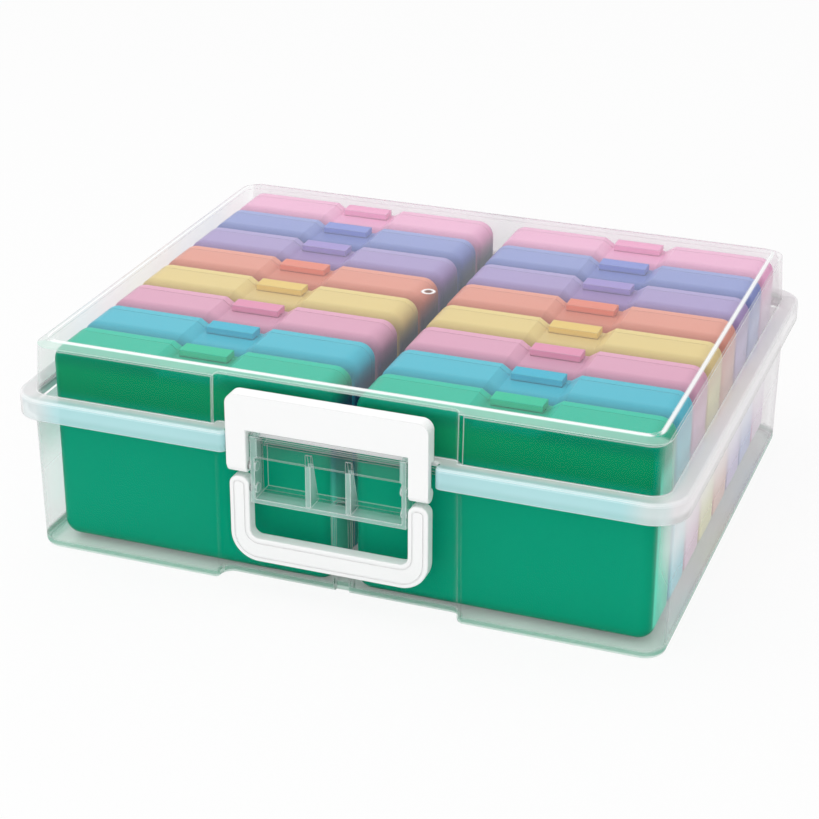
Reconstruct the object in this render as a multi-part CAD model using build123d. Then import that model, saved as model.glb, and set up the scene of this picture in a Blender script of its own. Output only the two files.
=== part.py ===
"""Photo keeper: a carrying case that holds sixteen photo cases, standing in two columns of eight.

Millimetres, +Z up, the front towards -Y. The origin is the centre of the flat underside.
"""
from build123d import *
import os
from math import cos, radians, sin, sqrt

os.makedirs("parts", exist_ok=True)

# ---- Photo cases ----
CASE_WIDTH = 168.0
CASE_HEIGHT = 118.0
CASE_THICKNESS = 34.3
CASE_SPACING = 0.5           # between a case and the one behind it
CASE_ROWS = 8
CASE_CORNER = 9.5
CASE_WALL = 1.2
CASE_EDGE = 3.0              # rounding round the cover's back
CASE_FRONT_EDGE = 8.0        # rounding round the tray's front
TRAY_DEPTH = 26.5            # the deep front half; the shallow cover makes up the rest
CASE_SEAM = 0.3
TOP_NOTCH_WIDTH = 45.0
TOP_NOTCH_DEPTH = 4.0
TOP_NOTCH_SLOPE = 6.0
TAB_WIDTH = 29.0
TAB_OVERLAP = 5.5            # how far the cover's tab reaches over the tray
LIP_THICKNESS = 0.9
LIP_REACH = 2.5
LIP_CLEARANCE = 0.25
TONGUE_WIDTH = 12.0
TONGUE_SPACING = 90.0
TONGUE_LENGTH = 5.0
TONGUE_THICKNESS = 1.5

# ---- Room round the cases ----
SIDE_CLEARANCE = 6.25        # outer end of a case to the tub's side wall
FRONT_CLEARANCE = 0.4        # front case to the bay wall
BACK_CLEARANCE = 3.2         # back case to the tub's back wall
FLOOR_CLEARANCE = 0.3
HEADROOM = 4.5               # case tops to the lid
RIB_CLEARANCE = 0.5          # inner end of a case to the divider rib

# ---- Base tub ----
BASE_CORNER = 12.0
BASE_WALL = 2.0
BASE_FLOOR = 2.2
BASE_DRAFT = 0.012           # outward lean of the walls, mm per mm of height
BASE_EDGE = 3.0              # rounding round the underside
EDGE_FLATS = 3               # flats that make up a rounding
BAY_DEPTH = 9.5              # recess in the middle of the front, for the latch and the handle
BAY_SIDE_GAP = 12.0          # side of the bay to the latch
BAY_LAND = 0.1               # flat left between the two corner roundings of the bay
PANEL_LAND = 0.4             # what the underside's rounding leaves of the front panels' inner corners
LEDGE_CLEARANCE = 1.45       # stiffening ledge round the outside, to the lid's skirt
LEDGE_THICKNESS = 1.6
GROOVE_WIDTH = 8.8           # arched groove in the bay wall: the back of the divider rib
GROOVE_DEPTH = 4.0
GROOVE_SHELF_GAP = 2.0       # top of the groove to the bracket's shelf
RIB_WALL = 1.6               # wall round the groove

# ---- Lid ----
LID_RISE = 33.4              # underside of the flange to the top of the lid
REST_GAP = 0.4               # tub rim to flange
FLANGE_THICKNESS = 2.4
RIM_SIDE_REACH = 8.75        # how far the skirt stands out from the tub's foot, at the sides
RIM_FRONT_REACH = 8.5        # the same at the front and the back
RIM_CORNER = 20.0
RIM_CURL = 4.0               # where the skirt turns in beside the latch
NOTCH_CORNER = 1.0           # in the back corners of the notch for the latch
SKIRT_DROP = 9.6             # how far the skirt hangs below the flange
SKIRT_WALL = 2.0
RIM_EDGE = 1.8               # rounding along the flange's top edge
LID_SET_IN = 1.25            # how far the lid's side walls stand in from the tub's foot
LID_CORNER = 11.0
LID_WALL = 2.0
LID_LEAN = 1.5               # how far each side leans in at the shoulder
LID_FRONT_LEAN = 1.5         # the same for the front and the back
SHOULDER_WIDTH = 5.5
SHOULDER_DROP = 2.9
LID_BAY_DEPTH = 4.2          # shallow recess that lines up with the tub's bay
LID_BAY_CORNER = 3.0
NOTCH_GAP = 2.0              # skirt end to the side of the latch

# ---- Lid hinge ----
HINGE_SPACING = 220.0        # between the two hinges
HINGE_REACH = 5.5            # skirt to the hinge axis
KNUCKLE_LENGTH = 20.0
KNUCKLE_RADIUS = 3.8
HINGE_PIN_RADIUS = 2.4
LUG_WALL = 2.1               # round the bore
LUG_THICKNESS = 4.0
HINGE_SIDE_GAP = 0.4
PIN_CLEARANCE = 0.05         # radial, for every pin in its bore

# ---- Latch ----
LATCH_WIDTH = 115.0
LATCH_PROUD = 2.0            # latch's front, ahead of the lid's skirt
LATCH_PIVOT_DROP = 15.1      # pivot below the lid's flange
LATCH_BOSS_RADIUS = 4.2
LATCH_TOP_GAP = 6.0          # top of the latch below the top of the lid
LATCH_RAIL_GAP = 3.8         # underside of the latch's bar above the rail
HOOD_GAP = 1.8               # back of the latch's hood to the lid's wall
LATCH_PLATE = 3.0
LATCH_WALL = 2.5
LATCH_LEG_WIDTH = 11.5
LATCH_WAIST_DEPTH = 4.6      # leg depth where it passes the rim
LATCH_CORNER = 6.0

# ---- Handle ----
HANDLE_SET_IN = 0.5          # side of the handle, in from the side of the latch
HANDLE_SET_BACK = 1.5        # handle's front, behind the latch's
HANDLE_THICKNESS = 7.0
HANDLE_LATCH_GAP = 2.6       # top of the arms to the foot of the latch
HANDLE_ARM_WIDTH = 11.5
HANDLE_DROP = 43.7           # pivot to the underside of the bar
HANDLE_BAR_HEIGHT = 14.0
HANDLE_END = 6.5             # pivot to the top of the arms
HANDLE_OUTER_CORNER = 16.0
HANDLE_INNER_CORNER = 5.0
HANDLE_END_CORNER = 5.0
PARTING_INSET = 2.4          # fine line round the handle's front face
PARTING_WIDTH = 0.6
PARTING_DEPTH = 0.4
EDGE_ROUNDING = 0.9

# ---- Bracket that carries the latch and the handle ----
BRACKET_SIDE_GAP = 1.0       # cheek to the latch legs and the handle arms
CHEEK_THICKNESS = 2.5
SHELF_DROP = 8.2             # underside of the shelf below the handle's pivot
SHELF_THICKNESS = 2.5
RAIL_SET_BACK = 2.2          # rail's front, behind the latch's
RAIL_PLATE = 1.5
RAIL_LEDGE = 2.0
RAIL_RISE = 0.5              # top of the rail above the lid's flange
RAIL_LID_GAP = 0.9           # behind the rail's top, to the lid's flange
GUSSET_SPACING = 23.0
GUSSET_THICKNESS = 3.0
GUSSET_OVERLAP = 6.0         # top of the gussets above the rail's underside
GUSSET_TOP_DEPTH = 3.0
GUSSET_FOOT_DEPTH = 11.5
PIVOT_PIN_RADIUS = 2.5
PIVOT_PIN_LENGTH = 5.5       # engaged length in the latch and the handle
PIN_END_GAP = 0.6
PIN_BUTTON_RADIUS = 2.8      # flat button on the cheek's inner face, behind each pin
PIN_BUTTON_HEIGHT = 0.8

# ---- Worked out: plan sizes ----
CASE_PITCH = CASE_THICKNESS + CASE_SPACING
ROWS_DEPTH = CASE_ROWS * CASE_PITCH - CASE_SPACING
COLUMN_GAP = GROOVE_WIDTH + 2 * (RIB_WALL + RIB_CLEARANCE)
BASE_WIDTH = 2 * (CASE_WIDTH + SIDE_CLEARANCE + BASE_WALL) + COLUMN_GAP
BASE_DEPTH = BAY_DEPTH + 2 * BASE_WALL + FRONT_CLEARANCE + ROWS_DEPTH + BACK_CLEARANCE
BAY_WIDTH = LATCH_WIDTH + 2 * BAY_SIDE_GAP
BAY_WALL_Y = BAY_DEPTH - BASE_DEPTH / 2
PANEL_CORNER = BASE_EDGE + PANEL_LAND
BAY_CORNER = BAY_DEPTH - PANEL_CORNER - BAY_LAND
LEDGE_CORNER = (BAY_DEPTH - BAY_LAND) / 2
RIM_WIDTH = BASE_WIDTH + 2 * RIM_SIDE_REACH
RIM_DEPTH = BASE_DEPTH + 2 * RIM_FRONT_REACH
LID_WIDTH = BASE_WIDTH - 2 * LID_SET_IN
LID_DEPTH = BASE_DEPTH
LATCH_FRONT = RIM_DEPTH / 2 + LATCH_PROUD
HANDLE_FRONT = LATCH_FRONT - HANDLE_SET_BACK
RAIL_FRONT = LATCH_FRONT - RAIL_SET_BACK
LATCH_HOOD_BACK = -(LID_DEPTH / 2 + HOOD_GAP)
LATCH_HOOD_DEPTH = LATCH_FRONT + LATCH_HOOD_BACK
NOTCH_WIDTH = LATCH_WIDTH + 2 * NOTCH_GAP
NOTCH_BACK = LATCH_HOOD_BACK + REST_GAP
HANDLE_WIDTH = LATCH_WIDTH - 2 * HANDLE_SET_IN
CHEEK_X = min(LATCH_WIDTH / 2 - LATCH_LEG_WIDTH, HANDLE_WIDTH / 2 - HANDLE_ARM_WIDTH) - BRACKET_SIDE_GAP

# ---- Worked out: heights and pivots ----
CASE_Z = BASE_FLOOR + FLOOR_CLEARANCE
HEIGHT = CASE_Z + CASE_HEIGHT + HEADROOM + LID_WALL
SHOULDER_HEIGHT = HEIGHT - SHOULDER_DROP
SEAM_HEIGHT = HEIGHT - LID_RISE
RIM_TOP = SEAM_HEIGHT - REST_GAP
FLANGE_TOP = SEAM_HEIGHT + FLANGE_THICKNESS
SKIRT_BOTTOM = SEAM_HEIGHT - SKIRT_DROP
LEDGE_LOW = SKIRT_BOTTOM + LEDGE_THICKNESS
LEDGE_REACH = RIM_FRONT_REACH - SKIRT_WALL - LEDGE_CLEARANCE
HINGE_Y = RIM_DEPTH / 2 + HINGE_REACH
HINGE_Z = SKIRT_BOTTOM
RAIL_BOTTOM = SKIRT_BOTTOM
RAIL_TOP = FLANGE_TOP + RAIL_RISE
GUSSET_TOP = RAIL_BOTTOM + GUSSET_OVERLAP
LATCH_PIVOT_Y = -(LATCH_FRONT - LATCH_BOSS_RADIUS)
LATCH_PIVOT_HEIGHT = SEAM_HEIGHT - LATCH_PIVOT_DROP
LATCH_TOP = HEIGHT - LATCH_TOP_GAP
LATCH_BAR_BOTTOM = RAIL_TOP + LATCH_RAIL_GAP
HANDLE_PIVOT_Y = -(HANDLE_FRONT - HANDLE_THICKNESS / 2)
HANDLE_PIVOT_HEIGHT = LATCH_PIVOT_HEIGHT - LATCH_BOSS_RADIUS - HANDLE_LATCH_GAP - HANDLE_END
SHELF_HEIGHT = HANDLE_PIVOT_HEIGHT - SHELF_DROP
GROOVE_HEIGHT = SHELF_HEIGHT - GROOVE_SHELF_GAP
BORE_RADIUS = PIVOT_PIN_RADIUS + PIN_CLEARANCE
HINGE_BORE_RADIUS = HINGE_PIN_RADIUS + PIN_CLEARANCE
LUG_RADIUS = HINGE_PIN_RADIUS + LUG_WALL


def span_box(x_range, y_range, z_range):
    """A box given by its two limits along each axis."""
    size = [high - low for low, high in (x_range, y_range, z_range)]
    middle = [(high + low) / 2 for low, high in (x_range, y_range, z_range)]
    return Pos(*middle) * Box(*size)


def rod_x(x_range, y, z, radius):
    """A cylinder along X between two limits."""
    low, high = x_range
    return Pos((low + high) / 2, y, z) * Rot(0, 90, 0) * Cylinder(radius, high - low)


def mirrored(shape):
    """The shape and its mirror image on the other side of the middle."""
    return shape + mirror(shape, about=Plane.YZ)


def ruled_block(sections):
    """A solid through plans at rising heights, given as pairs of height and plan."""
    body = Part()
    for (low, low_plan), (high, high_plan) in zip(sections, sections[1:]):
        body += loft([Pos(0, 0, low) * low_plan, Pos(0, 0, high) * high_plan], ruled=True)
    return body


def square_plan(corners):
    """A face with square corners given in turn as x, y and radius, each corner rounded by an arc."""
    starts, middles, ends = [], [], []
    for index, (x, y, radius) in enumerate(corners):
        corner = Vector(x, y)
        before = Vector(*corners[index - 1][:2])
        after = Vector(*corners[(index + 1) % len(corners)][:2])
        inward, onward = (before - corner).normalized(), (after - corner).normalized()
        starts.append(corner + inward * radius)
        ends.append(corner + onward * radius)
        middles.append(corner + (inward + onward) * radius * (1 - sqrt(0.5)))
    edges = []
    for index, start in enumerate(starts):
        edges.append(Edge.make_line(ends[index - 1], start))
        edges.append(Edge.make_three_point_arc(start, middles[index], ends[index]))
    return Face(Wire(edges))


def recessed_plan(size, corner, recess, recess_corners):
    """A rounded rectangle with a recess in the middle of its front.

    The size and the recess are width and depth; recess_corners are its radii at the mouth and the back.
    """
    half, deep = size[0] / 2, size[1] / 2
    side, back = recess[0] / 2, -size[1] / 2 + recess[1]
    mouth, inner = recess_corners
    return square_plan([
        (-half, -deep, corner), (-side, -deep, mouth), (-side, back, inner), (side, back, inner),
        (side, -deep, mouth), (half, -deep, corner), (half, deep, corner), (-half, deep, corner)])


def edge_steps(radius):
    """The flats of a rounded lower edge, as pairs of height and inset that end at the upright wall."""
    if radius == 0:
        return [(0, 0)]
    turns = [radians(90 * step / EDGE_FLATS) for step in range(EDGE_FLATS + 1)]
    return [(radius * (1 - cos(turn)), radius * (1 - sin(turn))) for turn in turns]


# ---- Base ----
def tub_plan(inset):
    """The tub's plan, shrunk all round by inset: a rounded rectangle with the bay cut in its front."""
    size = (BASE_WIDTH - 2 * inset, BASE_DEPTH - 2 * inset)
    return recessed_plan(size, BASE_CORNER - inset, (BAY_WIDTH + 2 * inset, BAY_DEPTH),
                         (PANEL_CORNER - inset, BAY_CORNER + inset))


def tub_block(inset, low, high, edge=0.0):
    """The tub's tapered body between two heights, shrunk by inset, its lower edge rounded in short flats."""
    sections = [(low + height, extra) for height, extra in edge_steps(edge)] + [(high, 0)]
    return ruled_block([(z, tub_plan(inset + extra - BASE_DRAFT * z)) for z, extra in sections])


def ledge():
    """The stiffening ledge round the outside, under the lid's skirt, as a plate to join to the wall."""
    size = (BASE_WIDTH + 2 * LEDGE_REACH, BASE_DEPTH + 2 * LEDGE_REACH)
    recess = (BAY_WIDTH - 2 * LEDGE_REACH, BAY_DEPTH)
    plan = recessed_plan(size, BASE_CORNER + LEDGE_REACH, recess, (LEDGE_CORNER, LEDGE_CORNER))
    return Pos(0, 0, LEDGE_LOW) * extrude(plan, LEDGE_THICKNESS)


def divider_rib(growth):
    """The arched divider rib at the bay wall, grown by its wall; without growth it is the groove."""
    width = GROOVE_WIDTH + 2 * growth
    height = GROOVE_HEIGHT + growth
    face = Pos(0, (height - width / 2) / 2) * Rectangle(width, height - width / 2)
    face += Pos(0, height - width / 2) * Circle(width / 2)
    front = BAY_WALL_Y - BASE_DRAFT * height - (0 if growth else BAY_DEPTH)
    back = BAY_WALL_Y + GROOVE_DEPTH + growth
    return Pos(0, back, 0) * Rot(90, 0, 0) * extrude(face, back - front)


def gusset():
    """A slender upright blade between the shelf and the rail, deepest at its foot, with a round top."""
    front = -RAIL_FRONT + RAIL_PLATE / 2
    tip = GUSSET_TOP_DEPTH / 2
    side = Polyline((front, SHELF_HEIGHT), (front, GUSSET_TOP - tip), (front + 2 * tip, GUSSET_TOP - tip),
                    (front + GUSSET_FOOT_DEPTH, SHELF_HEIGHT), close=True)
    face = make_face(side) + Pos(front + tip, GUSSET_TOP - tip) * Circle(tip)
    return extrude(Plane.YZ * face, GUSSET_THICKNESS / 2, both=True)


def bracket():
    """Shelf, rail, gussets and cheeks in the bay, with the pins of the latch and the handle."""
    bay_face = BAY_WALL_Y - BASE_DRAFT * SHELF_HEIGHT + BASE_WALL / 4
    across = (-CHEEK_X, CHEEK_X)
    body = span_box(across, (-RAIL_FRONT, bay_face), (SHELF_HEIGHT, SHELF_HEIGHT + SHELF_THICKNESS))
    body += span_box(across, (-RAIL_FRONT, -RAIL_FRONT + RAIL_PLATE), (RAIL_BOTTOM, RAIL_TOP))
    rail_back = NOTCH_BACK - RAIL_LID_GAP
    body += span_box(across, (-RAIL_FRONT, rail_back), (RAIL_TOP - RAIL_LEDGE, RAIL_TOP))
    body += mirrored(Pos(GUSSET_SPACING / 2, 0, 0) * gusset())
    inner = CHEEK_X - CHEEK_THICKNESS
    cheek = span_box((inner, CHEEK_X), (-RAIL_FRONT, bay_face), (SHELF_HEIGHT, RIM_TOP))
    cheek += span_box((inner, CHEEK_X), (-RAIL_FRONT, rail_back), (RIM_TOP, RAIL_TOP))
    for y, z in ((LATCH_PIVOT_Y, LATCH_PIVOT_HEIGHT), (HANDLE_PIVOT_Y, HANDLE_PIVOT_HEIGHT)):
        cheek += rod_x((CHEEK_X, CHEEK_X + BRACKET_SIDE_GAP + PIVOT_PIN_LENGTH), y, z, PIVOT_PIN_RADIUS)
        cheek += rod_x((inner - PIN_BUTTON_HEIGHT, inner), y, z, PIN_BUTTON_RADIUS)
    return body + mirrored(cheek)


def hinge_lugs():
    """The two lugs of one hinge, with their bores, and the arms that carry them under the skirt."""
    inner = KNUCKLE_LENGTH / 2 + HINGE_SIDE_GAP
    sides = (inner, inner + LUG_THICKNESS)
    wall = BASE_DEPTH / 2 + BASE_DRAFT * HINGE_Z - BASE_WALL / 2
    lug = span_box(sides, (wall, HINGE_Y), (HINGE_Z - LUG_RADIUS, SKIRT_BOTTOM - REST_GAP))
    lug += rod_x(sides, HINGE_Y, HINGE_Z, LUG_RADIUS)
    lug -= rod_x(sides, HINGE_Y, HINGE_Z, HINGE_BORE_RADIUS)
    return mirrored(lug)


def base():
    """The clear tub, its stiffening ledge, the bracket in its bay and the hinge lugs at the back."""
    outside = tub_block(0, 0, RIM_TOP, BASE_EDGE)
    shell = outside + ledge()
    shell -= tub_block(BASE_WALL, BASE_FLOOR, RIM_TOP + BASE_WALL, BASE_EDGE - BASE_WALL)
    shell += divider_rib(RIB_WALL) & outside
    shell -= divider_rib(0)
    shell += bracket()
    for x in (-HINGE_SPACING / 2, HINGE_SPACING / 2):
        shell += Pos(x, 0, 0) * hinge_lugs()
    return shell


# ---- Lid ----
def lid_plan(inset, lean=0.0, front_lean=0.0):
    """The lid wall's plan, shrunk by inset and by the lean of the sides and of the front and back."""
    width = LID_WIDTH - 2 * (inset + lean)
    depth = LID_DEPTH - 2 * (inset + front_lean)
    return RectangleRounded(width, depth, LID_CORNER - inset)


def lid_block(inset):
    """The lid's wall and shoulder as a solid, shrunk by inset, with the shallow bay in its front."""
    top = HEIGHT - inset
    shoulder = SHOULDER_HEIGHT - inset
    body = ruled_block([
        (SEAM_HEIGHT, lid_plan(inset)),
        (shoulder, lid_plan(inset, LID_LEAN, LID_FRONT_LEAN)),
        (top, lid_plan(inset, LID_LEAN + SHOULDER_WIDTH, LID_FRONT_LEAN + SHOULDER_WIDTH))])
    bay = RectangleRounded(BAY_WIDTH + 2 * inset, 2 * (LID_BAY_DEPTH + inset), LID_BAY_CORNER)
    return body - Pos(0, -LID_DEPTH / 2, SEAM_HEIGHT) * extrude(bay, HEIGHT)


def rim_plan(inset):
    """The flange's plan, shrunk by inset: a rounded rectangle, notched in front for the latch."""
    size = (RIM_WIDTH - 2 * inset, RIM_DEPTH - 2 * inset)
    return recessed_plan(size, RIM_CORNER - inset, (NOTCH_WIDTH + 2 * inset, RIM_DEPTH / 2 + NOTCH_BACK),
                         (RIM_CURL - inset, NOTCH_CORNER + inset))


def hinge_knuckle():
    """The knuckle of one hinge with its two stub pins, and the web that joins it to the skirt."""
    half = KNUCKLE_LENGTH / 2
    pin_end = half + HINGE_SIDE_GAP + LUG_THICKNESS
    knuckle = rod_x((-half, half), HINGE_Y, HINGE_Z, KNUCKLE_RADIUS)
    knuckle += rod_x((-pin_end, pin_end), HINGE_Y, HINGE_Z, HINGE_PIN_RADIUS)
    skirt = RIM_DEPTH / 2 - SKIRT_WALL / 2
    return knuckle + span_box((-half, half), (skirt, HINGE_Y), (HINGE_Z, HINGE_Z + KNUCKLE_RADIUS))


def lid():
    """The clear lid: wall, shoulder and top, the flange and its hanging skirt, and two knuckles."""
    edge = [(FLANGE_TOP - height, rim_plan(inset)) for height, inset in reversed(edge_steps(RIM_EDGE))]
    flange = ruled_block([(SEAM_HEIGHT, rim_plan(0))] + edge)
    skirt = Pos(0, 0, SKIRT_BOTTOM) * extrude(rim_plan(0) - rim_plan(SKIRT_WALL), SKIRT_DROP)
    half = NOTCH_WIDTH / 2
    open_depth = (-RIM_DEPTH / 2, NOTCH_BACK + 2 * SKIRT_WALL)
    skirt -= span_box((-half, half), open_depth, (SKIRT_BOTTOM, SEAM_HEIGHT))
    body = lid_block(0) + flange + skirt - lid_block(LID_WALL)
    for x in (-HINGE_SPACING / 2, HINGE_SPACING / 2):
        body += Pos(x, 0, 0) * hinge_knuckle()
    return body


# ---- Latch and handle ----
def latch():
    """The white latch: a hood over the lid's edge on two legs, which turn on the bracket's pins."""
    half = LATCH_WIDTH / 2
    leg_inner = half - LATCH_LEG_WIDTH
    rise = LATCH_TOP - LATCH_PIVOT_HEIGHT
    face = Pos(0, LATCH_TOP - rise / 2) * Rectangle(LATCH_WIDTH, rise)
    face = fillet(face.vertices().group_by(Axis.Y)[-1], LATCH_CORNER)
    hood = Pos(0, LATCH_HOOD_BACK, 0) * Rot(90, 0, 0) * extrude(face, LATCH_HOOD_DEPTH)
    hood -= span_box((-leg_inner, leg_inner), (-LATCH_FRONT, 0), (0, LATCH_BAR_BOTTOM))
    pocket_width = (-half + LATCH_WALL, half - LATCH_WALL)
    pocket_height = (LATCH_BAR_BOTTOM + LATCH_WALL, LATCH_TOP - LATCH_WALL)
    hood -= span_box(pocket_width, (-LATCH_FRONT + LATCH_PLATE, 0), pocket_height)
    waist_top = LATCH_BAR_BOTTOM - LATCH_PLATE
    hood -= span_box((-half, half), (-LATCH_FRONT + LATCH_WAIST_DEPTH, 0), (0, waist_top))
    body = fillet(hood.edges().filter_by_position(Axis.Y, -LATCH_FRONT, -LATCH_FRONT), EDGE_ROUNDING)
    boss = rod_x((leg_inner, half), LATCH_PIVOT_Y, LATCH_PIVOT_HEIGHT, LATCH_BOSS_RADIUS)
    body += mirrored(fillet(boss.edges().filter_by(GeomType.CIRCLE), EDGE_ROUNDING))
    bore_end = leg_inner + PIVOT_PIN_LENGTH + PIN_END_GAP
    body -= mirrored(rod_x((leg_inner, bore_end), LATCH_PIVOT_Y, LATCH_PIVOT_HEIGHT, BORE_RADIUS))
    return body


def handle_face():
    """The handle from the front: a U with large outer corners and rounded arm ends."""
    top = HANDLE_PIVOT_HEIGHT + HANDLE_END
    bottom = HANDLE_PIVOT_HEIGHT - HANDLE_DROP
    outer = Pos(0, (top + bottom) / 2) * Rectangle(HANDLE_WIDTH, top - bottom)
    outer = fillet(outer.vertices().group_by(Axis.Y)[0], HANDLE_OUTER_CORNER)
    window_width = HANDLE_WIDTH - 2 * HANDLE_ARM_WIDTH
    window_height = top - bottom - HANDLE_BAR_HEIGHT
    window = Pos(0, top - window_height / 2) * Rectangle(window_width, window_height)
    window = fillet(window.vertices().group_by(Axis.Y)[0], HANDLE_INNER_CORNER)
    face = outer - window
    return fillet(face.vertices().group_by(Axis.Y)[-1], HANDLE_END_CORNER)


def handle():
    """The white carrying handle, hanging from the bracket's lower pins."""
    face = handle_face()
    back = -(HANDLE_FRONT - HANDLE_THICKNESS)
    body = Pos(0, back, 0) * Rot(90, 0, 0) * extrude(face, HANDLE_THICKNESS)
    body = fillet(body.edges().filter_by_position(Axis.Y, -HANDLE_FRONT, -HANDLE_FRONT), EDGE_ROUNDING)
    line = offset(face, -PARTING_INSET) - offset(face, -PARTING_INSET - PARTING_WIDTH)
    front = -(HANDLE_FRONT - PARTING_DEPTH)
    body -= Pos(0, front, 0) * Rot(90, 0, 0) * extrude(line, PARTING_DEPTH)
    inner = HANDLE_WIDTH / 2 - HANDLE_ARM_WIDTH
    bore_end = CHEEK_X + BRACKET_SIDE_GAP + PIVOT_PIN_LENGTH + PIN_END_GAP
    return body - mirrored(rod_x((inner, bore_end), HANDLE_PIVOT_Y, HANDLE_PIVOT_HEIGHT, BORE_RADIUS))


# ---- Photo cases ----
def case_profile(inset):
    """A photo case from the front, shrunk by inset: rounded corners and the notch in its top edge."""
    face = Pos(0, CASE_HEIGHT / 2) * RectangleRounded(
        CASE_WIDTH - 2 * inset, CASE_HEIGHT - 2 * inset, CASE_CORNER - inset)
    half = TOP_NOTCH_WIDTH / 2 + inset
    floor = CASE_HEIGHT - TOP_NOTCH_DEPTH - inset
    notch = Polyline((-half, CASE_HEIGHT), (-half + TOP_NOTCH_SLOPE, floor), (half - TOP_NOTCH_SLOPE, floor),
                     (half, CASE_HEIGHT), close=True)
    return face - make_face(notch)


def case_slab(inset, front, back):
    """The case's profile as a solid between two depths."""
    return Pos(0, back, 0) * Rot(90, 0, 0) * extrude(case_profile(inset), back - front)


def rounded_slab(inset, front, back, closed_at, rounding):
    """The case's profile as a solid, rounded round its front face (closed_at 0) or its back face (-1)."""
    slab = case_slab(inset, front, back)
    return fillet(slab.faces().sort_by(Axis.Y)[closed_at].outer_wire().edges(), rounding - inset)


def tongues(growth, front, back, low, high):
    """The two hook tongues at the case's bottom edge, grown on each side by growth."""
    half = TONGUE_WIDTH / 2 + growth
    tongue = span_box((-half, half), (front, back), (low, high))
    return mirrored(Pos(TONGUE_SPACING / 2, 0, 0) * tongue)


def case_tray():
    """The deep front half of a photo case, with the hook tongues that hinge it on the cover."""
    body = rounded_slab(0, 0, TRAY_DEPTH, 0, CASE_FRONT_EDGE)
    body -= rounded_slab(CASE_WALL, CASE_WALL, TRAY_DEPTH, 0, CASE_FRONT_EDGE)
    tongue_low = CASE_WALL + LIP_CLEARANCE
    tongue_high = tongue_low + TONGUE_THICKNESS
    body += tongues(0, TRAY_DEPTH - TONGUE_LENGTH, TRAY_DEPTH, CASE_WALL / 2, tongue_high)
    return body + tongues(0, TRAY_DEPTH, TRAY_DEPTH + TONGUE_LENGTH, tongue_low, tongue_high)


def case_cover():
    """The shallow back half of a photo case: its lip stands inside the tray and its tab closes over it."""
    seam = TRAY_DEPTH + CASE_SEAM
    body = rounded_slab(0, seam, CASE_THICKNESS, -1, CASE_EDGE)
    body -= rounded_slab(CASE_WALL, seam, CASE_THICKNESS - CASE_WALL, -1, CASE_EDGE)
    lip_outer = CASE_WALL + LIP_CLEARANCE
    lip = case_slab(lip_outer, seam - LIP_REACH, seam) + case_slab(CASE_WALL, seam, seam + LIP_REACH)
    lip -= case_slab(lip_outer + LIP_THICKNESS, seam - LIP_REACH, seam + LIP_REACH)
    room = lip_outer + TONGUE_THICKNESS + LIP_CLEARANCE
    lip -= tongues(LIP_CLEARANCE, seam - LIP_REACH, seam + LIP_REACH, CASE_WALL, room)
    body += lip
    tab = (-TAB_WIDTH / 2, TAB_WIDTH / 2)
    notch_floor = CASE_HEIGHT - TOP_NOTCH_DEPTH
    body += span_box(tab, (seam, CASE_THICKNESS - CASE_EDGE), (notch_floor - CASE_WALL, CASE_HEIGHT))
    return body + span_box(tab, (seam - TAB_OVERLAP, seam), (notch_floor + CASE_SEAM, CASE_HEIGHT))


def save(shape, name):
    """Write one sub-part as its own STEP file."""
    export_step(shape, f"parts/{name}.step")


save(base(), "base")
save(lid(), "lid")
save(latch(), "latch")
save(handle(), "handle")

COVER = case_cover()
TRAY = case_tray()
COLUMN_X = (COLUMN_GAP + CASE_WIDTH) / 2
FIRST_Y = BAY_WALL_Y + BASE_WALL + FRONT_CLEARANCE
for side, x in (("left", -COLUMN_X), ("right", COLUMN_X)):
    for row in range(CASE_ROWS):
        place = Pos(x, FIRST_Y + row * CASE_PITCH, CASE_Z)
        save(place * COVER, f"{side}_case_{row + 1}_cover")
        save(place * TRAY, f"{side}_case_{row + 1}_tray")
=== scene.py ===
"""Finish, light and camera for the photo keeper, a clear carrying case of coloured photo cases.

Metres, +Z up, the front towards -Y, as in the solids. Colours are linear.
"""
import bpy
from math import cos, radians, sin
from mathutils import Matrix, Vector


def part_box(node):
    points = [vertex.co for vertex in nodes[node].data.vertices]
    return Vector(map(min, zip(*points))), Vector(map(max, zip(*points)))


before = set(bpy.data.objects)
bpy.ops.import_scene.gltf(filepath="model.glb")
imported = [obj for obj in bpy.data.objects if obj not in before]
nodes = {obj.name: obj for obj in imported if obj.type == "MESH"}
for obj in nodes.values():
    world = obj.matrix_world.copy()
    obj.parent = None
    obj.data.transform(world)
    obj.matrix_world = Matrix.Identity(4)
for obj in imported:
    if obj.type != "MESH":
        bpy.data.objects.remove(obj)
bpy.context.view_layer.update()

# ---- Places on the solids ----
SIDES = ("left", "right")
LID_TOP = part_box("lid")[1].z
PANEL_X = 0.1745             # half width and half depth of the lid's flat top panel
PANEL_Y = 0.1405
PANEL_CORNER = 0.004
SHOULDER_Z = 0.1241          # outer edge of the lid's shoulder
RIM_Z = 0.0960               # top of the lid's flange
WALL_X = 0.1800              # lid's side walls
WALL_Y = 0.1460              # lid's front and back walls
TUB_X = 0.1828               # tub's side walls
TUB_Y = 0.1475               # tub's front and back walls
NOTCH_X = 0.0690             # half width of the latch's notch in the rim
LEDGE_Z = 0.0866             # ledge under the rim, beside the notch
BRACKET_X = 0.0450           # outer face of the bracket's cheeks
BRACKET_Y = -0.1445          # where the bracket leaves the wall of the bay
CHEEK_X = 0.0405             # inner face of the bracket's cheeks
RAIL_Z = 0.0840              # underside of the rail
SHELF_Z = 0.0595             # top of the bracket's shelf
GUSSET_X = 0.0133            # outer face of each gusset
GATE_RING = 0.0033           # radius of the gate mark's ring
GATE_DIMPLE = 0.0018
TAB_X = 0.0143               # half width of a photo case's tab
COLUMN_GAP = 0.0070          # half width of the gap between the columns, with the ends' faces
CRISP = 0.0003               # run of a crisp change from one finish to the next
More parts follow.
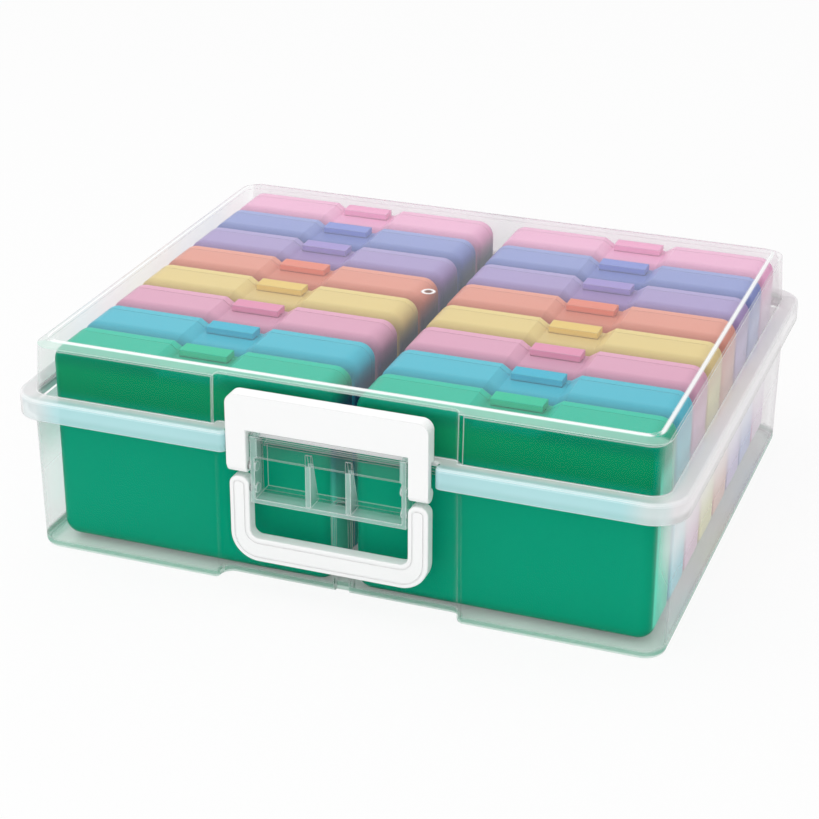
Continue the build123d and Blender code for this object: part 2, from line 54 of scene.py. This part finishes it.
TUB_MIDDLE = (0.0, 0.0, 0.050)
LID_MIDDLE = (0.0, 0.0, 0.080)

# ---- Plastic and its colours ----
PLASTIC_IOR = 1.49           # polypropylene
WHITE = (1.0, 1.0, 1.0)
WHITE_PLASTIC = (0.96, 0.96, 0.96)
HAZE = (0.95, 0.97, 0.97)
TUB_HAZE = (0.80, 0.87, 0.85)
WALL_MILK = (0.90, 0.88, 0.89)
WALL_SHADE = (0.76, 0.74, 0.75)
RIM_SHADE = (0.66, 0.64, 0.64)
FOOT_PALE = (0.80, 0.98, 0.90)
SEA_GREEN = (0.22, 0.50, 0.38)
FROSTED_TEAL = (0.66, 0.90, 0.84)
# The bracket plate's teal: the plastic's tint, brightened with painted light
PLATE_TEAL_LIT = (0.005, 0.470, 0.370)
RIM_FRONT = (0.52, 0.84, 0.88)
RIM_END = (0.76, 0.84, 0.85)
RIM_SIDE = (0.92, 0.89, 0.91)
STRIP_FRONT = (0.62, 0.86, 0.76)
GATE_BROWN = (0.16, 0.07, 0.05)
# Painted shade (navy) and painted light (teal) for the case ends beside the gap between the columns
GAP_SHADE_NAVY = (0.008, 0.060, 0.170)
GAP_LIGHT_TEAL = (0.140, 0.800, 0.620)
CASE_COLOURS = {
    "green": ((0.000, 0.345, 0.200), (0.010, 0.540, 0.370)),
    "cyan": ((0.030, 0.420, 0.550), (0.070, 0.510, 0.640)),
    "pink": ((0.560, 0.270, 0.400), (0.760, 0.380, 0.530)),
    "yellow": ((0.640, 0.480, 0.200), (0.800, 0.640, 0.260)),
    "orange": ((0.600, 0.200, 0.140), (0.810, 0.340, 0.260)),
    "purple": ((0.300, 0.180, 0.430), (0.420, 0.350, 0.640)),
    "blue": ((0.140, 0.180, 0.500), (0.290, 0.350, 0.680)),
    "light_pink": ((0.780, 0.330, 0.560), (0.900, 0.480, 0.680)),
}


# ---- Shader expressions ----
class Wire:
    """An output in a tree of nodes. Arithmetic on it adds Math nodes."""

    def __init__(self, tree, socket):
        self.tree = tree
        self.socket = socket

    def math(self, operation, *values):
        return self.tree.node("ShaderNodeMath", {"operation": operation}, dict(enumerate(values)))

    def __add__(self, other):
        return self.math("ADD", self, other)

    def __radd__(self, other):
        return self.math("ADD", other, self)

    def __sub__(self, other):
        return self.math("SUBTRACT", self, other)

    def __rsub__(self, other):
        return self.math("SUBTRACT", other, self)

    def __mul__(self, other):
        return self.math("MULTIPLY", self, other)

    def __rmul__(self, other):
        return self.math("MULTIPLY", other, self)

    def __pow__(self, other):
        return self.math("POWER", self, other)

    def size(self):
        return self.math("ABSOLUTE", self)

    def larger(self, other):
        return self.math("MAXIMUM", self, other)

    def smaller(self, other):
        return self.math("MINIMUM", self, other)

    def ramp(self, start, end):
        """0 at start and 1 at end, with a soft run between; start may lie above end."""
        low, high = sorted((start, end))
        values = {"Value": self, "From Min": low, "From Max": high}
        values["To Min"], values["To Max"] = (0.0, 1.0) if start < end else (1.0, 0.0)
        return self.tree.node("ShaderNodeMapRange", {"interpolation_type": "SMOOTHSTEP"}, values)

    def band(self, middle, half_width):
        """1 at middle, falling softly to 0 at half_width on either side."""
        return (self - middle).size().ramp(half_width, 0.0)


class Tree:
    """A tree of shader nodes, and the ways in which nodes are added to it."""

    def __init__(self, tree):
        self.tree = tree

    def node(self, kind, settings, inputs, output=0):
        """A new node: its settings first, then the values or links of its sockets."""
        made = self.tree.nodes.new(kind)
        for name, value in settings.items():
            setattr(made, name, value)
        for name, value in inputs.items():
            self.connect(made.inputs[name], value)
        return Wire(self, made.outputs[output]) if made.outputs else None

    def connect(self, socket, value):
        if isinstance(value, Wire):
            self.tree.links.new(value.socket, socket)
        elif socket.type == "RGBA":
            socket.default_value = (*value, 1.0)
        else:
            socket.default_value = value

    def mix(self, share, first, second):
        """The first colour where share is 0 and the second where it is 1."""
        return self.node("ShaderNodeMix", {"data_type": "RGBA"}, {0: share, 6: first, 7: second}, 2)

    def blend(self, share, first, second):
        """The first shader where share is 0 and the second where it is 1."""
        return self.node("ShaderNodeMixShader", {}, {0: share, 1: first, 2: second})

    def dot(self, first, second):
        """The cosine between two unit vectors, or a vector's length along a unit one."""
        product = {"operation": "DOT_PRODUCT"}
        return self.node("ShaderNodeVectorMath", product, {0: first, 1: second}, "Value")

    def seen_directly(self):
        """1 for what the camera, a reflection or a see-through surface looks at, and 0 for light."""
        camera, gloss, through = [
            self.node("ShaderNodeLightPath", {}, {}, output)
            for output in ("Is Camera Ray", "Is Glossy Ray", "Is Transmission Ray")
        ]
        return camera.larger(gloss).larger(through)


class Shader(Tree):
    """One material: a Principled shader and the nodes that its formula needs."""

    def __init__(self, name, **settings):
        self.material = bpy.data.materials.new(name)
        self.material.use_nodes = True
        super().__init__(self.material.node_tree)
        self.plastic = self.tree.nodes["Principled BSDF"]
        self.feed(**settings)

    def feed(self, **values):
        """Set or link the Principled shader's sockets, written with _ for a space."""
        for name, value in values.items():
            self.connect(self.plastic.inputs[name.replace("_", " ")], value)

    def place(self):
        """The point on the piece, in its own coordinates, as x, y and z."""
        point = self.node("ShaderNodeTexCoord", {}, {}, "Object")
        return [self.node("ShaderNodeSeparateXYZ", {}, {"Vector": point}, axis) for axis in "XYZ"]

    def noise(self, scale, detail=2.0, stretch=(1.0, 1.0, 1.0)):
        """Smooth noise about 0.5 over the piece's own coordinates, stretched per axis."""
        point = self.node("ShaderNodeTexCoord", {}, {}, "Object")
        mapped = self.node("ShaderNodeMapping", {}, {"Vector": point, "Scale": stretch})
        return self.node("ShaderNodeTexNoise", {}, {"Vector": mapped, "Scale": scale, "Detail": detail})

    def rounded(self, radius):
        """The surface normal, turned near each edge as if the edge were rounded by radius."""
        return self.node("ShaderNodeBevel", {"samples": 4}, {"Radius": radius})

    def edge(self, rounded, faint, full):
        """0 on a face and 1 along an edge, where the rounded normal turns by more than full radians."""
        flat = self.node("ShaderNodeNewGeometry", {}, {}, "Normal")
        turn = self.dot(rounded, flat)
        angle = (2.0 - 2.0 * turn).larger(0.0) ** 0.5
        return angle.ramp(faint, full)

    def outward(self, middle):
        """1 on faces that look away from middle, and 0 on the inner faces.

        A node gives the normal turned round on the back of a face, so it is turned back here.
        """
        point = self.node("ShaderNodeTexCoord", {}, {}, "Object")
        normal = self.node("ShaderNodeTexCoord", {}, {}, "Normal")
        behind = self.node("ShaderNodeNewGeometry", {}, {}, "Backfacing")
        away = self.node("ShaderNodeVectorMath", {"operation": "SUBTRACT"}, {0: point, 1: middle})
        facing = self.dot(away, normal)
        return (facing * (1.0 - 2.0 * behind)).ramp(0.0, 0.004)

    def glance(self, strength):
        """The sheen of clear plastic: nothing seen square on, rising to strength at a glancing view."""
        facing = self.node("ShaderNodeLayerWeight", {}, {"Blend": 0.5}, "Facing")
        return strength * facing ** 3.0

    def bump(self, height, strength, distance, normal):
        """The normal, tilted by a relief of up to distance metres."""
        inputs = {"Height": height, "Strength": strength, "Distance": distance, "Normal": normal}
        return self.node("ShaderNodeBump", {}, inputs)


def beyond(x, y, half_x, half_y, corner):
    """How far a point lies outside a rectangle with rounded corners in plan; below 0 inside it."""
    across = x.size() - (half_x - corner)
    along = y.size() - (half_y - corner)
    outside = (across.larger(0.0) ** 2.0 + along.larger(0.0) ** 2.0) ** 0.5
    return outside + across.larger(along).smaller(0.0) - corner


# ---- Clear shells ----
def clear_tub():
    """Clear polypropylene: nearly invisible in front, milky down the sides and at the back.

    Painted white highlights run along its edges, and light gathers in a sea-green line over a pale
    sole. The bracket's plate is bright teal: the plastic's own teal tint, brightened with painted
    light. Its shelf and cheeks are frosted, and so are its two gussets with the plate between them.
    """
    shader = Shader("clear_tub", Roughness=0.16, IOR=PLASTIC_IOR)
    x, y, z = shader.place()
    rounded = shader.rounded(radius=0.0008)
    outside = shader.outward(TUB_MIDDLE)
    # Along every edge this mask lays a painted white highlight.
    edge = shader.edge(rounded, faint=0.10, full=0.32)

    # The shell's zones
    milky = x.size().ramp(TUB_X - 0.008, TUB_X).larger(y.ramp(TUB_Y - 0.004, TUB_Y))
    upper = z.ramp(0.040, 0.068)
    foot = z.ramp(0.0072, 0.0040)
    sole = z.ramp(0.0030, 0.0014)
    ledge = z.band(LEDGE_Z, 0.0020) * x.size().ramp(NOTCH_X, NOTCH_X + 0.003)

    # The bracket's zones
    bracket = y.ramp(BRACKET_Y, BRACKET_Y - 0.0030) * x.size().ramp(BRACKET_X, BRACKET_X - 0.0002)
    between = z.ramp(SHELF_Z, SHELF_Z + CRISP) * z.ramp(RAIL_Z, RAIL_Z - CRISP)
    gussets = between * x.size().ramp(GUSSET_X + 0.0006, GUSSET_X)
    shelf = z.ramp(SHELF_Z + CRISP, SHELF_Z)
    cheek = x.size().ramp(CHEEK_X, CHEEK_X + 0.0007)
    frosted = bracket * gussets.larger(shelf).larger(cheek)
    # The plate between the rail and the shelf gets a bright teal with painted light.
    plate = bracket * between * (1.0 - frosted.larger(edge))

    # How much of each zone is seen
    haze = 0.004 + milky * (0.28 + 0.34 * upper) + 0.55 * foot + 0.25 * sole + 0.35 * ledge
    flow = shader.noise(scale=9.0, detail=3.0, stretch=(1.0, 1.0, 0.3))
    # The edges add a painted white highlight to the alpha of the shell and of the bracket.
    shell = outside * (haze * (0.88 + 0.24 * flow) + shader.glance(0.32)) + 0.62 * edge
    fitting = 0.02 + 0.40 * plate + 0.34 * frosted + 0.50 * edge
    alpha = shell * (1.0 - bracket) + fitting * bracket

    colour = shader.mix(milky * (1.0 - edge), TUB_HAZE, shader.mix(upper, WALL_SHADE, WALL_MILK))
    colour = shader.mix(foot * (1.0 - sole) * (1.0 - 0.5 * edge), colour, SEA_GREEN)
    colour = shader.mix(sole * (1.0 - 0.6 * edge), colour, FOOT_PALE)
    # White along the bracket's edges is a painted highlight, and the plate's teal carries painted
    # light.
    fitted = shader.mix(plate, shader.mix(edge, FROSTED_TEAL, HAZE), PLATE_TEAL_LIT)
    shader.feed(Base_Color=shader.mix(bracket, colour, fitted), Alpha=alpha.smaller(0.96))
    ripple = shader.noise(scale=60.0)
    shader.feed(Normal=shader.bump(ripple, strength=0.10, distance=0.0006, normal=rounded))
    return shader.material


def clear_lid():
    """Clear polypropylene: a faint haze on the flat top with painted reflection that grows towards the
    back, and a milky rim.

    A painted white highlight runs round the top panel and along the edges. The gate mark in the
    middle is a white ring round a dark dimple.
    """
    shader = Shader("clear_lid", Roughness=0.14, IOR=PLASTIC_IOR)
    x, y, z = shader.place()
    rounded = shader.rounded(radius=0.0011)
    outside = shader.outward(LID_MIDDLE)
    # Along every edge this mask lays a painted white highlight.
    edge = shader.edge(rounded, faint=0.09, full=0.24)

    # The flat top, and the shoulder's strip in front of it
    spread = beyond(x, y, PANEL_X, PANEL_Y, PANEL_CORNER)
    upper = z.ramp(SHOULDER_Z - 0.0004, SHOULDER_Z + 0.0002)
    panel = spread.ramp(CRISP, -CRISP) * upper
    strip = spread.ramp(-CRISP, CRISP) * upper * y.ramp(-PANEL_Y + 0.004, -PANEL_Y)
    # A painted white highlight, about 2 mm wide, round the top panel's edge.
    line = spread.band(0.0, 0.0019) * z.ramp(LID_TOP - 0.0010, LID_TOP - 0.0004)

    # The walls and the rim
    rim = z.ramp(RIM_Z + 0.0008, RIM_Z - 0.0004)
    lip = z.ramp(RIM_Z - 0.0060, RIM_Z - 0.0100)
    side = x.size().ramp(WALL_X - 0.006, WALL_X) * (1.0 - rim) * (1.0 - upper)
    back = y.ramp(WALL_Y - 0.003, WALL_Y - 0.001) * (1.0 - rim)
    front = y.ramp(-TUB_Y - 0.001, -TUB_Y - 0.006)
    end = x.size().ramp(0.158, 0.176)

    # The gate mark
    radius = (x * x + y * y) ** 0.5
    mark = z.ramp(LID_TOP - 0.0010, LID_TOP - 0.0005)
    ring = radius.band(GATE_RING, 0.0014) * mark
    dimple = radius.ramp(GATE_DIMPLE + 0.0006, GATE_DIMPLE) * mark

    # How much of each zone is seen
    # On the top panel, 0.010 is the plastic's own haze; the 0.080 rising towards the back is painted
    # reflection.
    haze = 0.006 + panel * (0.010 + 0.080 * y.ramp(-0.10, 0.14)) + 0.40 * strip
    haze = haze + (0.80 - 0.10 * lip) * rim + 0.20 * side + 0.45 * back
    flow = shader.noise(scale=7.0, detail=3.0)
    shell = haze * (0.88 + 0.24 * flow) + shader.glance(0.45 - 0.12 * upper) * (1.0 - rim)
    # The edge and panel-line terms add painted white highlights to the alpha.
    alpha = outside * shell + 0.72 * edge + line + ring + 0.85 * dimple

    rim_front = shader.mix(end, RIM_FRONT, RIM_END)
    rim_colour = shader.mix(front, shader.mix(lip, RIM_SIDE, RIM_SHADE), rim_front)
    colour = shader.mix(side * (1.0 - edge), HAZE, WALL_MILK)
    colour = shader.mix(rim * (1.0 - 0.8 * edge), colour, rim_colour)
    colour = shader.mix(strip * (1.0 - line.smaller(1.0)), colour, STRIP_FRONT)
    shader.feed(Base_Color=shader.mix(dimple, colour, GATE_BROWN), Alpha=alpha.smaller(0.97))
    ripple = shader.noise(scale=45.0)
    shader.feed(Normal=shader.bump(ripple, strength=0.08, distance=0.0006, normal=rounded))
    return shader.material


# ---- Opaque and coloured pieces ----
def white_plastic(name, grain):
    """White satin polypropylene with a fine moulded grain, grain being the scale of its noise."""
    shader = Shader(name, Base_Color=WHITE_PLASTIC, IOR=PLASTIC_IOR)
    wear = shader.noise(scale=35.0, detail=3.0)
    shader.feed(Roughness=0.34 + 0.08 * wear)
    rounded = shader.rounded(radius=0.0006)
    speckle = shader.noise(scale=grain)
    shader.feed(Normal=shader.bump(speckle, strength=0.12, distance=0.0002, normal=rounded))
    return shader.material


def case_plastic(name, row, half):
    """Translucent coloured polypropylene for one half of the two photo cases in a row.

    The faces are deep in colour. The top is lighter with painted light, the cover's more than the
    tray's and less towards the ends, with a dark painted shade along the front of the top and a vivid
    tab. Painted highlights lighten the edges. The outer ends are bright with painted light, and the
    ends beside the gap between the columns carry painted light and shade, from teal at the foot to navy
    near the top, as light does that has passed through many cases.
    """
    deep, light = CASE_COLOURS[name]
    strongest = max(light)
    # The colour of the painted shade along the front of the top.
    dark = tuple(0.55 * channel for channel in deep)
    front = tuple(share * channel for share, channel in zip((1.0, 0.84, 0.60), deep))
    # The outer ends' colour, brightened with painted light.
    bright = tuple(min(1.0, 0.10 + 1.5 * channel) for channel in light)
    vivid = tuple(channel * (channel / strongest) ** 0.6 for channel in light)
    gloss = tuple(0.25 + 0.75 * channel for channel in light)
    shader = Shader(f"case_{name}_{half}", Roughness=0.30, IOR=PLASTIC_IOR)
    shader.feed(Specular_IOR_Level=0.05, Specular_Tint=gloss)
    x, y, z = shader.place()
    low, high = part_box(f"right_case_{row}_tray")
    middle = (low.x + high.x) / 2
    reach = (high.x - low.x) / 2
    outwards = x.size() - middle
    along = outwards.size()
    rounded = shader.rounded(radius=0.0010)
    edge = shader.edge(rounded, faint=0.12, full=0.45)

    # The case's zones
    top = z.ramp(high.z - 0.0060, high.z - 0.0010)
    end = along.ramp(reach - 0.011, reach - 0.001)
    # The outer end faces, brightened with painted light.
    outer = outwards.ramp(reach - 0.0012, reach - 0.0004) * z.ramp(high.z - 0.012, high.z - 0.028)
    # The ends beside the gap between the columns, given painted light at the foot and painted shade
    # higher up.
    gap = x.size().ramp(COLUMN_GAP + 0.0015, COLUMN_GAP) * z.ramp(high.z - 0.004, high.z - 0.020)
    tab = along.ramp(TAB_X + 0.0009, TAB_X) * top
    # Painted shade along the front edge of the top, where one row's rounded front meets the next.
    painted_brow_shade = y.ramp(low.y + 0.011, low.y + 0.001) * z.ramp(high.z - 0.0130, high.z - 0.0060)
    face = y.ramp(low.y + 0.0020, low.y + 0.0005) * z.ramp(RIM_Z - 0.006, RIM_Z) * (1.0 - top)

    flow = shader.noise(scale=14.0, detail=3.0, stretch=(1.0, 1.0, 0.5))
    # Painted light on the top, more on the cover than on the tray and fading towards the ends.
    lightness = (0.78 if half == "tray" else 1.12) * top * (1.0 - 0.50 * end)
    # The edge term is a painted highlight; the flow noise is the plastic's own uneven tone.
    lightness = lightness + 0.16 * (flow - 0.5) + 0.40 * edge
    colour = shader.mix(lightness.larger(0.0).smaller(1.0), deep, light)
    if half == "cover":
        colour = shader.mix(0.8 * tab * (1.0 - edge), colour, vivid)
    colour = shader.mix(face, colour, front)
    colour = shader.mix(0.60 * painted_brow_shade, colour, dark)
    colour = shader.mix(outer, colour, bright)
    gap_light_and_shade = shader.mix(z.ramp(0.050, 0.095), GAP_LIGHT_TEAL, GAP_SHADE_NAVY)
    shader.feed(Base_Color=shader.mix(0.9 * gap, colour, gap_light_and_shade))
    ripple = shader.noise(scale=120.0)
    shader.feed(Normal=shader.bump(ripple, strength=0.06, distance=0.0003, normal=rounded))
    return shader.material


def finish_piece(node, material):
    """Give a solid one material in every slot."""
    for slot in node.material_slots:
        slot.material = material


finish_piece(nodes["base"], clear_tub())
finish_piece(nodes["lid"], clear_lid())
finish_piece(nodes["latch"], white_plastic("latch_white", 900.0))
finish_piece(nodes["handle"], white_plastic("handle_white", 850.0))
for row, colour in enumerate(CASE_COLOURS, start=1):
    for half in ("cover", "tray"):
        material = case_plastic(colour, row, half)
        for side in SIDES:
            finish_piece(nodes[f"{side}_case_{row}_{half}"], material)


# ---- Studio ----
FLOOR_SIZE = 6.0
FLOOR_Z = -0.0004            # just under the tub
FLOOR_COLOUR = (0.86, 0.86, 0.86)
SHADOW_SHARE = 0.10          # how much of the floor's own shading the camera sees
SKY_LEVEL = 0.78
KEY_POWER = 7.0
FILL_POWER = 4.0


def white_world():
    """White where it is seen, and a plain soft grey as light."""
    world = bpy.data.worlds.new("studio")
    world.use_nodes = True
    world.node_tree.nodes.clear()
    tree = Tree(world.node_tree)
    light = tree.node("ShaderNodeBackground", {}, {"Color": WHITE, "Strength": SKY_LEVEL})
    seen = tree.node("ShaderNodeBackground", {}, {"Color": WHITE, "Strength": 1.0})
    surface = tree.blend(tree.seen_directly(), light, seen)
    tree.node("ShaderNodeOutputWorld", {}, {"Surface": surface})
    bpy.context.scene.world = world


def floor():
    """A large pale floor just under the tub, white where it is seen, with the object's soft shadow."""
    half = FLOOR_SIZE / 2
    corners = [(x, y, FLOOR_Z) for x, y in ((-half, -half), (half, -half), (half, half), (-half, half))]
    mesh = bpy.data.meshes.new("floor")
    mesh.from_pydata(corners, [], [(0, 1, 2, 3)])
    piece = bpy.data.objects.new("floor", mesh)
    bpy.context.scene.collection.objects.link(piece)
    shader = Shader("floor", Base_Color=FLOOR_COLOUR, Roughness=0.9, Specular_IOR_Level=0.0)
    own = Wire(shader, shader.plastic.outputs[0])
    glow = shader.node("ShaderNodeEmission", {}, {"Color": WHITE})
    share = (1.0 - SHADOW_SHARE) * shader.seen_directly()
    output = shader.tree.nodes["Material Output"]
    shader.connect(output.inputs["Surface"], shader.blend(share, own, glow))
    mesh.materials.append(shader.material)


def softbox(name, place, target, size, power):
    """A square lamp at place, facing target."""
    lamp = bpy.data.lights.new(name, "AREA")
    lamp.size = size
    lamp.energy = power
    piece = bpy.data.objects.new(name, lamp)
    bpy.context.scene.collection.objects.link(piece)
    piece.location = place
    piece.rotation_euler = (Vector(target) - Vector(place)).to_track_quat("-Z", "Y").to_euler()


white_world()
floor()
softbox("key", (-0.5, -0.2, 1.5), (0, 0, 0.1), 1.4, KEY_POWER)
softbox("fill", (0.3, -1.5, 0.7), (0, 0, 0.05), 1.2, FILL_POWER)

# ---- Camera ----
AZIMUTH = 20.323             # towards the right of the front
ELEVATION = 25.102
ROLL = 0.184
DISTANCE = 1.2781
TARGET = Vector((-0.01052, -0.00255, 0.05070))
SENSOR = 36.0
FOCAL = 94.236


def add_camera():
    """A camera that looks at the target from the azimuth, elevation and distance above."""
    turn, rise, roll = radians(AZIMUTH), radians(ELEVATION), radians(ROLL)
    back = Vector((sin(turn) * cos(rise), -cos(turn) * cos(rise), sin(rise)))
    level = (-back).cross(Vector((0, 0, 1))).normalized()
    raised = level.cross(-back)
    right = level * cos(roll) + raised * sin(roll)
    up = raised * cos(roll) - level * sin(roll)
    camera = bpy.data.cameras.new("camera")
    camera.sensor_width = SENSOR
    camera.lens = FOCAL
    piece = bpy.data.objects.new("camera", camera)
    bpy.context.scene.collection.objects.link(piece)
    turned = Matrix((right, up, back)).transposed().to_4x4()
    piece.matrix_world = Matrix.Translation(TARGET + back * DISTANCE) @ turned
    bpy.context.scene.camera = piece


add_camera()
bpy.context.scene.view_settings.view_transform = "Standard"
